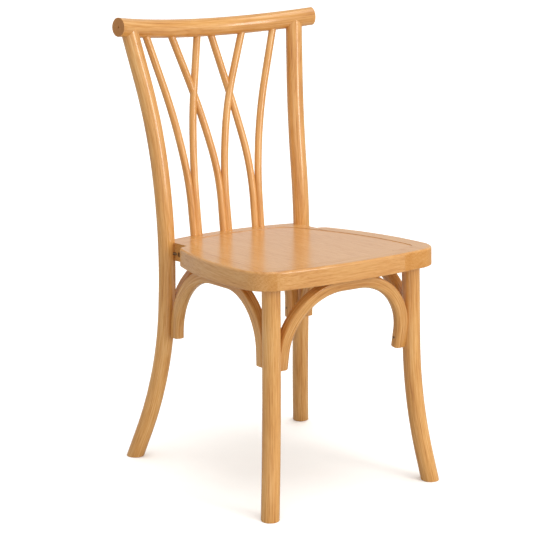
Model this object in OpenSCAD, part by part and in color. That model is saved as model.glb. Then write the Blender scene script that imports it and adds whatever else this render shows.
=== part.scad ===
// Dining chair with bent round posts, a bowed crest rail, three crossing pairs of
// spindles, a framed seat that falls towards the back and four bent arches under it.
// The front faces -Y, +X is to the right when the chair is seen from the front.

/* [Posts and rear legs] */
// Diameter of the two posts that run from floor to crest rail
post_d = 34.4; // [30:0.2:40]
// Half the distance between the post axes at seat height
post_x = 166.8; // [150:0.5:185]
// How far the post axes stand in front of the seat's rear edge
post_inset = 49.7; // [44:0.1:60]
// Height of the lower bend's corner above the floor
post_low_h = 186; // [150:1:210]
// Height of the seat bend's corner above the floor
post_mid_h = 461.5; // [440:0.5:490]
// Height of the upper bend's corner above the floor
post_high_h = 684.5; // [650:0.5:720]
// Sideways spread of a rear foot beyond the post at the seat
rear_foot_out = 46; // [20:0.5:60]
// How far a rear foot stands behind the post at the seat
rear_foot_back = 66.5; // [40:0.5:90]
// Sideways place of the lower bend, beyond the post at the seat
post_low_out = 3.6; // [0:0.1:8]
// Backward place of the lower bend
post_low_back = 12; // [4:0.5:20]
// Sideways place of the upper bend
post_high_out = 4.8; // [0:0.1:10]
// Backward place of the upper bend
post_high_back = 34.3; // [28:0.1:40]
// Bend radius near the floor
post_low_r = 880; // [600:10:900]
// Bend radius at the seat
post_mid_r = 1160; // [800:10:1200]
// Bend radius behind the back
post_high_r = 1335; // [900:5:1400]

/* [Front legs] */
// Diameter of the front legs
leg_d = 35.4; // [30:0.2:40]
// Half the distance between the front leg axes under the seat
leg_x = 166.4; // [150:0.5:175]
// How far the front leg axes stand behind the seat's front edge
leg_inset = 54; // [48:0.5:70]
// Sideways spread of a front foot
front_foot_out = 28.8; // [10:0.2:40]
// Forward spread of a front foot
front_foot_fwd = 38.6; // [20:0.2:50]
// Height of the bend's corner above the floor
leg_bend_h = 166; // [140:1:190]
// Sideways place of the bend, beyond the leg under the seat
leg_bend_out = 3.5; // [0:0.1:6]
// Forward place of the bend
leg_bend_fwd = 7.6; // [2:0.1:12]
// Bend radius of the front legs
leg_bend_r = 1160; // [700:10:1200]
// Diameter of the tenon at the top of a front leg
leg_tenon_d = 22; // [16:0.5:26]
// Length of that tenon inside the seat frame
leg_tenon_l = 20; // [12:0.5:22]

/* [Crest rail] */
// Diameter of the crest rail
rail_d = 37.6; // [34:0.2:44]
// Height of the middle of the rail's axis above the floor
rail_h = 872; // [850:1:920]
// How far the rail's middle stands behind the seat's rear edge
rail_back = 68.3; // [50:0.1:100]
// Radius of the rail's bow
rail_bow_r = 570; // [520:5:800]
// Rise of the rail's ends, as the tilt of its bow
rail_tilt = 17.5; // [5:0.5:25]
// Half the length of the rail across its ends
rail_half = 236; // [225:1:250]
// Rounding at the rim of the rail's end faces
rail_end_round = 2; // [1:0.25:4]
// Half the distance between the post tops at the rail
post_top_x = 201.6; // [190:0.5:210]
// Diameter of the round tenon at the top of a post
post_tenon_d = 19; // [14:0.5:22]
// Slack on each side between a round tenon and its bore
fit_gap = 0.15; // [0.05:0.05:0.4]
// Slack at the blind end of a bore
end_gap = 1; // [0.5:0.25:2]

/* [Spindles] */
// Diameter of the spindles
spindle_d = 15.4; // [13:0.2:17]
// How far the spindle axes stand inside the seat's rear edge
spindle_inset = 8.8; // [8:0.1:14]
// Length of a spindle inside the seat frame
spindle_seat_l = 22; // [15:0.5:26]
// Foot of the outer spindles, from the middle
outer_foot_x = 83.3; // [80:0.1:88]
// Foot of the crossing spindles beside them
cross_foot_x = 70.7; // [66:0.1:73]
// Foot of the middle spindles
middle_foot_x = 6.5; // [5.5:0.1:8]
// Top of the outer spindles, from the middle
outer_top_x = 159.6; // [150:0.1:165]
// Top of the middle spindles, which lean outward
middle_top_x = 91.5; // [85:0.1:98]
// Top of the crossing spindles, which lean inward
cross_top_x = 13.4; // [12:0.1:20]
// How far the crossing spindles enter the rail behind its axis
cross_top_back = 6; // [0:0.5:7]
// Width of the slit left by the glue between two spindles
spindle_gap = 0.1; // [0:0.05:0.3]
// How far the two spindles of a pair step apart for their crossing, each way
lap_step = 2; // [0:0.25:3]

/* [Spindle bends, as shares of the way from foot to top] */
// Outer spindles: lower bend, sideways
outer_low_side = 0.017; // [0:0.001:0.04]
// Outer spindles: lower bend, backwards
outer_low_back = 0.219; // [0.18:0.001:0.25]
// Outer spindles: lower bend, upwards
outer_low_up = 0.248; // [0.22:0.001:0.27]
// Outer spindles: upper bend, sideways
outer_high_side = 0.262; // [0.22:0.001:0.3]
// Outer spindles: upper bend, backwards
outer_high_back = 0.567; // [0.53:0.001:0.6]
// Outer spindles: upper bend, upwards
outer_high_up = 0.556; // [0.53:0.001:0.58]
// Crossing spindles: lower bend, sideways
cross_low_side = -0.01; // [-0.03:0.001:0.02]
// Crossing spindles: lower bend, backwards
cross_low_back = 0.188; // [0.16:0.001:0.22]
// Crossing spindles: lower bend, upwards
cross_low_up = 0.304; // [0.28:0.001:0.33]
// Crossing spindles: upper bend, sideways
cross_high_side = 0.311; // [0.28:0.001:0.34]
// Crossing spindles: upper bend, backwards
cross_high_back = 0.562; // [0.53:0.001:0.59]
// Crossing spindles: upper bend, upwards
cross_high_up = 0.596; // [0.57:0.001:0.62]
// Middle spindles: lower bend, sideways
middle_low_side = -0.012; // [-0.03:0.001:0]
// Middle spindles: lower bend, backwards
middle_low_back = 0.231; // [0.2:0.001:0.26]
// Middle spindles: lower bend, upwards
middle_low_up = 0.282; // [0.26:0.001:0.31]
// Middle spindles: upper bend, sideways
middle_high_side = 0.305; // [0.28:0.001:0.33]
// Middle spindles: upper bend, backwards
middle_high_back = 0.686; // [0.65:0.001:0.72]
// Middle spindles: upper bend, upwards
middle_high_up = 0.614; // [0.59:0.001:0.63]
// Length a lower bend of the outer spindles takes off the shorter straight beside it
outer_low_bend = 0.47; // [0.3:0.01:0.5]
// The same for their upper bend
outer_high_bend = 0.585; // [0.4:0.005:0.59]
// The same for the crossing spindles' lower bend
cross_low_bend = 0.535; // [0.4:0.005:0.6]
// The same for their upper bend
cross_high_bend = 0.355; // [0.25:0.005:0.38]
// The same for the middle spindles' lower bend
middle_low_bend = 0.535; // [0.4:0.005:0.58]
// The same for their upper bend
middle_high_bend = 0.48; // [0.35:0.005:0.5]

/* [Seat] */
// Height of the seat's front edge above the floor
seat_h = 475.4; // [455:0.5:490]
// Fall of the seat towards the back, in degrees
seat_tilt = 2.3; // [0:0.1:4]
// Thickness of the seat frame
seat_t = 36.5; // [32:0.5:42]
// Width of the seat at its widest
seat_w = 438; // [420:1:460]
// Depth of the seat from front edge to rear edge
seat_d = 463; // [440:1:480]
// Where the seat is widest, behind the front edge
seat_wide_y = 125; // [100:1:160]
// Radius of the bowed front edge
seat_front_r = 1000; // [800:10:1400]
// Radius of the bowed sides
seat_side_r = 700; // [600:10:900]
// Radius of the bowed rear edge
seat_rear_r = 513; // [460:1:600]
// Radius of the front corners
seat_corner_r = 62; // [45:1:75]
// Radius of the shoulders in front of the posts
shoulder_r = 27; // [15:1:32]
// How far the shoulders stand in front of the seat's rear edge
shoulder_inset = 105; // [95:0.5:115]
// How far an ear reaches past the inner side of its post
ear_lap = 9.4; // [6:0.2:12]
// Rounding of the seat's top edge
seat_top_round = 5; // [2:0.5:7]
// Rounding of the seat's lower edge
seat_low_round = 2; // [1:0.5:3]
// Width of the frame seen around the panel
rim_w = 38; // [32:0.5:39.5]
// Width of the ledge that carries the panel
ledge_w = 20; // [12:0.5:21.5]
// Thickness of the veneered panel
panel_t = 12; // [9:0.5:14]
// How far the panel lies below the frame's top
panel_drop = 0.8; // [0.4:0.1:1.5]
// Radius of the panel's corners
panel_corner_r = 24; // [12:1:32]
// Gap around the panel
panel_gap = 0.2; // [0.1:0.05:0.4]
// Left seam in the front edge, from the middle
seam_left_x = 178.5; // [178:0.5:184]
// Right seam in the front edge, from the middle
seam_right_x = 112; // [95:1:130]

/* [Arches] */
// Depth of an arch's section, from its flat outer face to its round inner face
arch_a = 24; // [20:0.5:26]
// Width of an arch's section
arch_b = 20; // [16:0.5:24]
// Rounding of the section on its inner side
arch_in_r = 8.5; // [5:0.5:9]
// Rounding of the section on its outer side
arch_out_r = 3; // [1:0.5:4]
// Depth of the flat cut in a leg where an arch is seated
arch_seat = 3.5; // [2:0.25:5]
// How far an arch's top is let into the trimmed contact under the seat
arch_trim = 1.5; // [0.5:0.25:3]
// Bend radius of the front arch
front_arch_r = 134; // [110:1:140]
// Bend radius of the rear arch
rear_arch_r = 128; // [110:1:140]
// Bend radius of a side arch at its front leg
side_arch_front_r = 126; // [110:1:140]
// Bend radius of a side arch at its rear leg
side_arch_rear_r = 162; // [130:1:165]
// Height of the front arch's ends above the floor
front_arch_end_h = 275; // [262:1:290]
// Height of the rear arch's ends above the floor
rear_arch_end_h = 258; // [250:1:272]
// Height of a side arch's front end above the floor
side_arch_front_h = 276; // [262:1:290]
// Height of a side arch's rear end above the floor
side_arch_rear_h = 266; // [255:1:280]
// Forward lean of the front arch's plane
front_arch_lean = 9.8; // [0:0.2:12]
// How far the side arches stand inside the front legs' axes
side_arch_in = 1; // [0:0.5:4]
// Turn of the side arches, their rear ends inward
side_arch_turn = 1.9; // [0:0.1:3]
// How far the rear arch's ends follow the posts outward
rear_arch_out = 2.6; // [1:0.1:3]
// How far the rear arch stands behind the posts' axes at the seat
rear_arch_back = 8; // [4:0.5:10]
// How far the side arches' front ends follow the legs forward
side_arch_fwd = 1.5; // [0:0.1:3]
// How far the side arches' rear ends follow the posts backward
side_arch_back = 9; // [6:0.1:10]
// Height above the front arch's ends at which its plane meets the legs' axes
front_arch_meet = 28; // [10:1:40]

/* [Fittings] */
// Diameter of the bolts that hold the posts to the seat
bolt_d = 6; // [5:0.5:8]
// Diameter of a bolt's head
bolt_head_d = 12; // [10:0.5:14]
// Depth of a bolt's head
bolt_head_h = 5; // [4:0.5:7]
// Diameter of the cross dowels that the bolts screw into
nut_d = 10; // [8:0.5:12]
// Length of a cross dowel
nut_l = 14; // [12:0.5:18]
// How far a cross dowel stands behind the shoulder
nut_back = 28; // [20:0.5:34]
// Depth of a cross dowel's face under the ear's side
nut_sink = 0.5; // [0:0.25:2]
// Height of a bolt above the seat's underside
bolt_up = 14; // [11:0.5:18]

/* [Hidden] */
$fn = 96;

honey = [0.84, 0.64, 0.42];
honey_light = [0.87, 0.70, 0.52];
honey_dark = [0.76, 0.54, 0.32];
steel = [0.42, 0.40, 0.38];
big = 1200;
cut = 40;

// Straight stations, measured from the seat's front edge and the floor
post_y = seat_d - post_inset;
leg_y = leg_inset;
rail_y = seat_d + rail_back;
function rear_edge(x) = seat_d - seat_rear_r + sqrt(seat_rear_r * seat_rear_r - x * x);
seat_low_h = seat_h - seat_t / cos(seat_tilt);
function seat_top(y) = seat_h - y * tan(seat_tilt);
function seat_under(y) = seat_low_h - y * tan(seat_tilt);

// The object stands with its middle over the origin
foot_slope = (front_foot_fwd - leg_bend_fwd) / leg_bend_h;
foot_reach = leg_d / 2 * sqrt(1 + foot_slope * foot_slope);
depth_min = min(0, leg_y - front_foot_fwd - foot_reach);
depth_max = rail_y + rail_d / 2;
mid_y = (depth_min + depth_max) / 2;

// A point of the crest rail's axis at a distance from the middle
function rail_sag(x) = rail_bow_r - sqrt(rail_bow_r * rail_bow_r - x * x);
function rail_pt(x) = [
    x,
    rail_y - rail_sag(x) * cos(rail_tilt),
    rail_h + rail_sag(x) * sin(rail_tilt)
];
rail_cap = 6;
rail_turn = asin((rail_half - rail_cap) / rail_bow_r);

// Corners of the bent rods, right side; the left side mirrors them
hairline = 0.04;
core_in = 2.5;
core_l = 3;
function post_pts() = [
    [post_x + rear_foot_out, post_y + rear_foot_back, 0],
    [post_x + post_low_out, post_y + post_low_back, post_low_h],
    [post_x, post_y, post_mid_h],
    [post_x + post_high_out, post_y + post_high_back, post_high_h],
    rail_pt(post_top_x)
];
post_radii = [post_low_r, post_mid_r, post_high_r];
function leg_pts() = [
    [leg_x + front_foot_out, leg_y - front_foot_fwd, 0],
    [leg_x + leg_bend_out, leg_y - leg_bend_fwd, leg_bend_h],
    [leg_x, leg_y, seat_under(leg_y)]
];

// A spindle's foot on the seat, and its corners as shares of the way to its top
function foot_at(x) =
    let (y = rear_edge(x) - spindle_inset) [x, y, seat_top(y)];
function share_of(v, s) = [v[0] * s[0], v[1] * s[1], v[2] * s[2]];
function spindle_pts(foot, top, low, high, step) = [
    foot,
    foot + share_of(top - foot, low),
    foot + share_of(top - foot, high) - [0, step, 0],
    top
];
// On the left the crossing spindle passes in front, on the right the middle one
function cross_front(side) = side < 0;
outer_low = [outer_low_side, outer_low_back, outer_low_up];
outer_high = [outer_high_side, outer_high_back, outer_high_up];
cross_low = [cross_low_side, cross_low_back, cross_low_up];
cross_high = [cross_high_side, cross_high_back, cross_high_up];
middle_low = [middle_low_side, middle_low_back, middle_low_up];
middle_high = [middle_high_side, middle_high_back, middle_high_up];
outer_pts = spindle_pts(
    foot_at(outer_foot_x), rail_pt(outer_top_x), outer_low, outer_high, 0
);
function cross_pts(side) = spindle_pts(
    foot_at(cross_foot_x), rail_pt(cross_top_x) + [0, cross_top_back, 0],
    cross_low, cross_high, cross_front(side) ? lap_step : -lap_step
);
function middle_pts(side) = spindle_pts(
    foot_at(middle_foot_x), rail_pt(middle_top_x),
    middle_low, middle_high, cross_front(side) ? -lap_step : lap_step
);
// Radii of a spindle's bends from the shares they take off the straights
function share_r(p, i, share) =
    share * min(norm(p[i] - p[i - 1]), norm(p[i + 1] - p[i]))
        / tan(turn_between(p[i] - p[i - 1], p[i + 1] - p[i]) / 2);
function radii_of(p, low, high) = [share_r(p, 1, low), share_r(p, 2, high)];

// Arch stations
front_arch_half = leg_x - leg_d / 2 + arch_seat;
rear_arch_half = post_x + rear_arch_out - post_d / 2 + arch_seat;
side_arch_front_y = leg_y - side_arch_fwd + leg_d / 2 - arch_seat;
side_arch_rear_y = post_y + side_arch_back - post_d / 2 + arch_seat;
side_arch_x = leg_x - side_arch_in;

// Bolt through the post into the cross dowel in the ear
ear_x = post_x - post_d / 2 + ear_lap;
shoulder_y = seat_d - shoulder_inset;
nut_y = shoulder_y + nut_back;
nut_x = ear_x - nut_sink - nut_l / 2;
bolt_turn = atan2(post_x - nut_x, post_y - nut_y);
bolt_seat = norm([post_x - nut_x, post_y - nut_y]) + post_d / 2 - bolt_head_h;

// Vector helpers and rods

function unit(v) = v / norm(v);
function turn_between(a, b) = acos(max(-1, min(1, unit(a) * unit(b))));
// Length that a bend takes off both straights at corner i
function bend_cut(p, r, i) = r * tan(turn_between(p[i] - p[i - 1], p[i + 1] - p[i]) / 2);
// Frame with columns x, y, z at point o
function frame_at(x, y, z, o) = [
    [x[0], y[0], z[0], o[0]],
    [x[1], y[1], z[1], o[1]],
    [x[2], y[2], z[2], o[2]],
    [0, 0, 0, 1]
];

// Round bar from a to b
module bar(a, b, d, side = [0, 1, 0.1]) {
    z = unit(b - a);
    x = unit(side - (side * z) * z);
    multmatrix(frame_at(x, cross(z, x), z, a))
        cylinder(h = norm(b - a), d = d);
}

// Bend of radius r at corner q between directions u and v
module bend(q, u, v, r, d) {
    a = unit(u);
    t = turn_between(u, v);
    n = unit(unit(v) - (unit(v) * a) * a);
    c = q - a * r * tan(t / 2) + n * r;
    multmatrix(frame_at(-n, a, cross(-n, a), c))
        rotate_extrude(angle = t)
            translate([r, 0])
                circle(d = d);
}

// Round rod along corners p with bend radii r, run on by extra at each end; where a
// straight meets a bend they leave a hairline and join through a core
module bent_rod(p, r, d, low_extra = 0, high_extra = 0) {
    n = len(p);
    for (i = [0 : n - 2]) {
        u = unit(p[i + 1] - p[i]);
        a = i == 0 ? p[0] - u * low_extra : p[i] + u * (bend_cut(p, r[i - 1], i) + hairline);
        b = i == n - 2
            ? p[i + 1] + u * high_extra
            : p[i + 1] - u * (bend_cut(p, r[i], i + 1) + hairline);
        bar(a, b, d, bend_side(p, max(i, 1)));
    }
    for (i = [1 : n - 2]) {
        u = unit(p[i] - p[i - 1]);
        v = unit(p[i + 1] - p[i]);
        l = bend_cut(p, r[i - 1], i);
        bend(p[i], u, v, r[i - 1], d);
        bar(p[i] - u * (l + core_l), p[i] - u * (l - core_l), d - 2 * core_in);
        bar(p[i] + v * (l - core_l), p[i] + v * (l + core_l), d - 2 * core_in);
    }
}

// Direction from corner i to the outer side of its bend
function bend_side(p, i) = unit(unit(p[i] - p[i - 1]) - unit(p[i + 1] - p[i]));

// Side: 1 for right, -1 for left
module on_side(side) {
    mirror([side < 0 ? 1 : 0, 0, 0])
        children();
}

module place() {
    translate([0, -mid_y, 0])
        children();
}

module below_floor() {
    translate([-big / 2, -big / 2, -cut])
        cube([big, 2 * big, cut]);
}

// Seat frame's own axes: its top lies at height 0 and it falls towards the back
module seat_axes() {
    translate([0, 0, seat_h])
        rotate([-seat_tilt, 0, 0])
            children();
}

module above_underside() {
    seat_axes()
        translate([-big / 2, -cut, -seat_t])
            cube([big, big, seat_t + cut]);
}

// Crest rail and posts

module rail_rod(d) {
    translate([0, rail_y - rail_bow_r * cos(rail_tilt), rail_h + rail_bow_r * sin(rail_tilt)])
        rotate([-rail_tilt, 0, 0])
            rotate([0, 0, 90 - rail_turn])
                rotate_extrude(angle = 2 * rail_turn)
                    translate([rail_bow_r, 0])
                        circle(d = d);
}

// Half section of an end cap with a rounded rim and the core that holds it
module rail_cap_profile(r) {
    translate([0, hairline]) {
        square([r - rail_end_round, rail_cap - hairline]);
        square([r, rail_cap - hairline - rail_end_round]);
    }
    translate([r - rail_end_round, rail_cap - rail_end_round])
        circle(r = rail_end_round);
    translate([0, -core_l])
        square([r - core_in, core_l + rail_cap / 2]);
}

module rail_ends() {
    translate([0, rail_y - rail_bow_r * cos(rail_tilt), rail_h + rail_bow_r * sin(rail_tilt)])
        rotate([-rail_tilt, 0, 0])
            for (side = [0, 1])
                mirror([side, 0, 0])
                    rotate([0, 0, 90 - rail_turn])
                        translate([rail_bow_r, 0, 0])
                            rotate([90, 0, 0])
                                rotate_extrude()
                                    rail_cap_profile(rail_d / 2);
}

module spindle_socket(p) {
    n = len(p);
    u = unit(p[n - 1] - p[n - 2]);
    bar(p[n - 1] - u * rail_d, p[n - 1] + u * end_gap, spindle_d + 2 * fit_gap);
}

module crest_rail() {
    color(honey)
        place()
            difference() {
                union() {
                    rail_rod(rail_d);
                    rail_ends();
                }
                for (side = [-1, 1])
                    on_side(side) {
                        post_tenon(fit_gap, end_gap);
                        spindle_socket(outer_pts);
                        spindle_socket(middle_pts(side));
                        spindle_socket(cross_pts(side));
                    }
            }
}

module post_tenon(gap, deeper) {
    p = post_pts();
    n = len(p);
    u = unit(p[n - 1] - p[n - 2]);
    bar(p[n - 1] - u * rail_d, p[n - 1] + u * deeper, post_tenon_d + 2 * gap);
}

module post_rod(extra = 0) {
    bent_rod(post_pts(), post_radii, post_d, post_d, extra);
}

module post_body(side) {
    on_side(side)
        difference() {
            union() {
                difference() {
                    post_rod();
                    rail_rod(rail_d);
                }
                post_tenon(0, 0);
            }
            below_floor();
            side_arch_shape();
            rear_arch_half_shape();
            bolt_shape(fit_gap);
        }
}

module left_post() {
    color(honey)
        place()
            post_body(-1);
}

module right_post() {
    color(honey)
        place()
            post_body(1);
}

// Front legs

module leg_tenon(gap, deeper) {
    p = leg_pts();
    u = unit(p[2] - p[1]);
    bar(p[2] - u * leg_tenon_l, p[2] + u * (leg_tenon_l + deeper), leg_tenon_d + 2 * gap);
}

module leg_body(side) {
    on_side(side)
        difference() {
            union() {
                difference() {
                    bent_rod(leg_pts(), [leg_bend_r], leg_d, leg_d, cut / 2);
                    above_underside();
                }
                leg_tenon(0, 0);
            }
            below_floor();
            side_arch_shape();
            front_arch_half_shape();
        }
}

module left_front_leg() {
    color(honey)
        place()
            leg_body(-1);
}

module right_front_leg() {
    color(honey)
        place()
            leg_body(1);
}

// Spindles, drawn on the right side

module spindle_rod(p, low_bend, high_bend) {
    bent_rod(p, radii_of(p, low_bend, high_bend), spindle_d, spindle_seat_l, 0);
}

module outer_rod() {
    spindle_rod(outer_pts, outer_low_bend, outer_high_bend);
}

module cross_rod(side) {
    spindle_rod(cross_pts(side), cross_low_bend, cross_high_bend);
}

module middle_rod(side) {
    spindle_rod(middle_pts(side), middle_low_bend, middle_high_bend);
}

// Height at which two upper straights have the same distance from the middle
function slope(p) = (p[3] - p[2])[0] / (p[3] - p[2])[2];
function start(p) = p[2][0] - slope(p) * p[2][2];
function lap_h(p, q) = (start(q) - start(p)) / (slope(p) - slope(q));
function on_line(p, h) = p[2] + (p[3] - p[2]) * (h - p[2][2]) / (p[3][2] - p[2][2]);
function lean_of(p) = -atan2((p[3] - p[2])[1], (p[3] - p[2])[2]);
lap_size = 4 * spindle_d;

// Room in front of the plane in which the two spindles of a pair are halved
module front_half(side) {
    p = cross_pts(side);
    q = middle_pts(side);
    h = lap_h(p, q);
    lean = (lean_of(p) + lean_of(q)) / 2;
    multmatrix(frame_at(
        [1, 0, 0], [0, cos(lean), sin(lean)], [0, -sin(lean), cos(lean)],
        (on_line(p, h) + on_line(q, h)) / 2
    ))
        translate([-lap_size / 2, -lap_size, -lap_size / 2])
            cube([lap_size, lap_size, lap_size]);
}

// Flat between the two spindles of a pair, at distance x from the middle
module beyond(x, way) {
    translate([way > 0 ? x - spindle_gap / 2 : x + spindle_gap / 2 - big, 0, 0])
        cube([big, big, big]);
}

module outer_spindle_shape() {
    difference() {
        outer_rod();
        beyond((outer_foot_x + cross_foot_x) / 2, -1);
    }
}

// What one spindle gives up to another, which passes in front of it or behind it
module given_up(side, to_front) {
    if (to_front)
        intersection() {
            children();
            front_half(side);
        }
    else
        difference() {
            children();
            front_half(side);
        }
}

module crossing_spindle_shape(side) {
    difference() {
        cross_rod(side);
        beyond((outer_foot_x + cross_foot_x) / 2, 1);
        given_up(side, !cross_front(side))
            middle_rod(side);
    }
}

module middle_spindle_shape(side) {
    difference() {
        middle_rod(side);
        beyond(0, -1);
        given_up(side, cross_front(side))
            cross_rod(side);
    }
}

module left_outer_spindle() {
    color(honey) place() on_side(-1) outer_spindle_shape();
}

module right_outer_spindle() {
    color(honey) place() on_side(1) outer_spindle_shape();
}

module left_crossing_spindle() {
    color(honey_light) place() on_side(-1) crossing_spindle_shape(-1);
}

module right_crossing_spindle() {
    color(honey_light) place() on_side(1) crossing_spindle_shape(1);
}

module left_middle_spindle() {
    color(honey_dark) place() on_side(-1) middle_spindle_shape(-1);
}

module right_middle_spindle() {
    color(honey_dark) place() on_side(1) middle_spindle_shape(1);
}

// Seat: arcs about these centres make its outline

function front_c() = [0, seat_front_r];
function rear_c() = [0, seat_d - seat_rear_r];
function side_c(s) = [s * (seat_w / 2 - seat_side_r), seat_wide_y];
// Where circles of radius p about a and q about b meet, on the side of way
function meet(a, p, b, q, way) =
    let (
        d = norm(b - a),
        k = (p * p - q * q + d * d) / (2 * d),
        h = sqrt(max(0, p * p - k * k)),
        u = (b - a) / d
    ) a + u * k + way * h * [-u[1], u[0]];
function corner_c(r) = meet(front_c(), seat_front_r - r, side_c(1), seat_side_r - r, 1);
shoulder_c = meet_line(side_c(1), seat_side_r - shoulder_r, shoulder_y - shoulder_r);
function meet_line(c, r, y) = [c[0] + sqrt(r * r - (y - c[1]) * (y - c[1])), y];

// Section of the frame along its outline: r is the outline's radius, depth its width
module edge_profile(r, depth) {
    translate([r - depth, -seat_t])
        square([depth - seat_top_round, seat_t]);
    translate([r - depth, -seat_t + seat_low_round])
        square([depth, seat_t - seat_low_round - seat_top_round]);
    translate([r - depth, -seat_t])
        square([depth - seat_low_round, seat_t - seat_top_round]);
    translate([r - seat_top_round, -seat_top_round])
        circle(r = seat_top_round);
    translate([r - seat_low_round, -seat_t + seat_low_round])
        circle(r = seat_low_round);
}

// Stretch of the frame along a circle about c, from angle a to angle b
module edge_sector(c, r, a, b, depth) {
    translate([c[0], c[1], 0])
        rotate([0, 0, a])
            rotate_extrude(angle = b - a)
                edge_profile(r, depth);
}

// Core that joins two stretches across a hairline at angle a, in from every surface
module edge_core(c, r, a, depth) {
    translate([c[0], c[1], 0])
        rotate([0, 0, a])
            translate([r - depth + core_in, -core_l, core_in - seat_t])
                cube([depth - 2 * core_in, 2 * core_l, seat_t - 2 * core_in]);
}

// Takes the bore for the right front leg out of a stretch
module leg_bored() {
    difference() {
        children();
        rotate([seat_tilt, 0, 0])
            translate([0, 0, -seat_h])
                leg_tenon(fit_gap, end_gap);
    }
}

function angle_of(c, p) = atan2(p[1] - c[1], p[0] - c[0]);
// Angle that the hairline between two stretches takes on a circle of radius r
function slit(r) = hairline / r * 180 / PI;
frame_depth = rim_w + ledge_w + 2;
corner_p = corner_c(seat_corner_r);
corner_from = angle_of(front_c(), corner_p);
corner_to = angle_of(side_c(1), corner_p);
shoulder_from = angle_of(side_c(1), shoulder_c);

// Front edge from a place left or right of its middle up to the right corner
module front_edge(from_x) {
    from = -90 + asin(from_x / seat_front_r);
    leg_bored() {
        edge_sector(front_c(), seat_front_r, from, corner_from - slit(seat_front_r), frame_depth);
        edge_core(front_c(), seat_front_r, corner_from, frame_depth);
    }
}

// Front right corner and the side behind it, up to the angle to
module side_edge(to) {
    leg_bored()
        edge_sector(corner_p, seat_corner_r, corner_from, corner_to, seat_corner_r);
    leg_bored() {
        edge_sector(
            side_c(1), seat_side_r, corner_to + slit(seat_side_r), to, frame_depth
        );
        edge_core(side_c(1), seat_side_r, corner_to, frame_depth);
    }
}

// Rounded shoulder in front of the post
module shoulder() {
    edge_sector(shoulder_c, shoulder_r, shoulder_from + slit(shoulder_r), 90, shoulder_r);
    edge_core(side_c(1), seat_side_r, shoulder_from, shoulder_r);
    translate([shoulder_c[0] - frame_depth, shoulder_c[1], -seat_t])
        cube([frame_depth - hairline, shoulder_r, seat_t]);
    edge_core(shoulder_c, shoulder_r, 90, shoulder_r);
}

// Area inside the four bows, a distance in from the seat's outline
module bowed_area(inset) {
    intersection() {
        translate(front_c()) circle(r = seat_front_r - inset);
        translate(rear_c()) circle(r = seat_rear_r - inset);
        translate(side_c(1)) circle(r = seat_side_r - inset);
        translate(side_c(-1)) circle(r = seat_side_r - inset);
    }
}

// Outline of the panel, a distance in from the seat's, between two heights
module panel_area(inset, high, low) {
    r = max(panel_corner_r, seat_corner_r - inset);
    fc = meet(front_c(), seat_front_r - inset - r, side_c(1), seat_side_r - inset - r, 1);
    rc = meet(
        rear_c(), seat_rear_r - inset - panel_corner_r,
        side_c(1), seat_side_r - inset - panel_corner_r, -1
    );
    translate([0, 0, low])
        linear_extrude(high - low) {
            difference() {
                bowed_area(inset);
                for (side = [0, 1])
                    mirror([side, 0]) {
                        corner_tip(fc, r, front_c(), side_c(1));
                        corner_tip(rc, panel_corner_r, rear_c(), side_c(1));
                    }
            }
            for (side = [0, 1])
                mirror([side, 0]) {
                    translate(fc) circle(r = r + hairline / 2);
                    translate(rc) circle(r = panel_corner_r + hairline / 2);
                }
        }
}

// What a round corner takes off, beyond the line between its ends
module corner_tip(c, r, p, q) {
    a = c + unit(c - p) * r;
    b = c + unit(c - q) * r;
    polygon([a, c + unit(unit(a - c) + unit(b - c)) * r * 2, b]);
}

// Pocket for the panel over the opening inside the ledge, whose corners stay square
module panel_cut() {
    panel_area(rim_w, 1, -panel_t - panel_drop);
    translate([0, 0, -seat_t - 1])
        linear_extrude(seat_t)
            bowed_area(rim_w + ledge_w);
}

// Bores for the post, the spindles and the fittings, drawn on the right side
module frame_bores(side) {
    post_rod();
    for (p = [outer_pts, cross_pts(side), middle_pts(side)]) {
        u = unit(p[1] - p[0]);
        bar(
            p[0] - u * (spindle_seat_l + end_gap), p[0] + u * spindle_d,
            spindle_d + 2 * fit_gap
        );
    }
    bolt_shape(fit_gap);
    dowel_shape(fit_gap, nut_sink + 1);
}

// The corner joints run square to the front edge and then step inward
front_cell_y = rim_w + ledge_w + 20;

module seat_cell(x0, x1, y0, y1) {
    translate([x0, y0, -seat_t - cut])
        cube([x1 - x0, y1 - y0, seat_t + 2 * cut]);
}

module seat_front_rail() {
    color(honey)
        place()
            seat_axes()
                difference() {
                    intersection() {
                        on_side(-1) {
                            front_edge(-seam_right_x - core_l);
                            side_edge(0);
                        }
                        seat_cell(-seam_left_x, seam_right_x, -cut, front_cell_y);
                    }
                    panel_cut();
                }
}

// Side rail on the right side, with its seam a distance from the middle
module side_rail(seam) {
    seat_axes()
        difference() {
            union() {
                front_edge(0);
                side_edge(shoulder_from);
                shoulder();
            }
            seat_cell(-cut, seam, -cut, front_cell_y);
            panel_cut();
        }
}

module seat_left_rail() {
    color(honey_dark)
        place()
            on_side(-1)
                side_rail(seam_left_x);
}

module seat_right_rail() {
    color(honey_dark)
        place()
            side_rail(seam_right_x);
}

module seat_rear_rail() {
    turn = asin(ear_x / seat_rear_r) + 5;
    color(honey)
        place()
            difference() {
                seat_axes()
                    difference() {
                        intersection() {
                            edge_sector(rear_c(), seat_rear_r, 90 - turn, 90 + turn, 2 * frame_depth);
                            seat_cell(-ear_x, ear_x, shoulder_y, seat_d + cut);
                        }
                        panel_cut();
                    }
                for (side = [-1, 1])
                    on_side(side)
                        frame_bores(side);
            }
}

module seat_panel() {
    color(honey_light)
        place()
            seat_axes()
                panel_area(rim_w + panel_gap, -panel_drop, -panel_drop - panel_t);
}

// Arches: a section with a flat outer face and a round inner one

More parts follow.
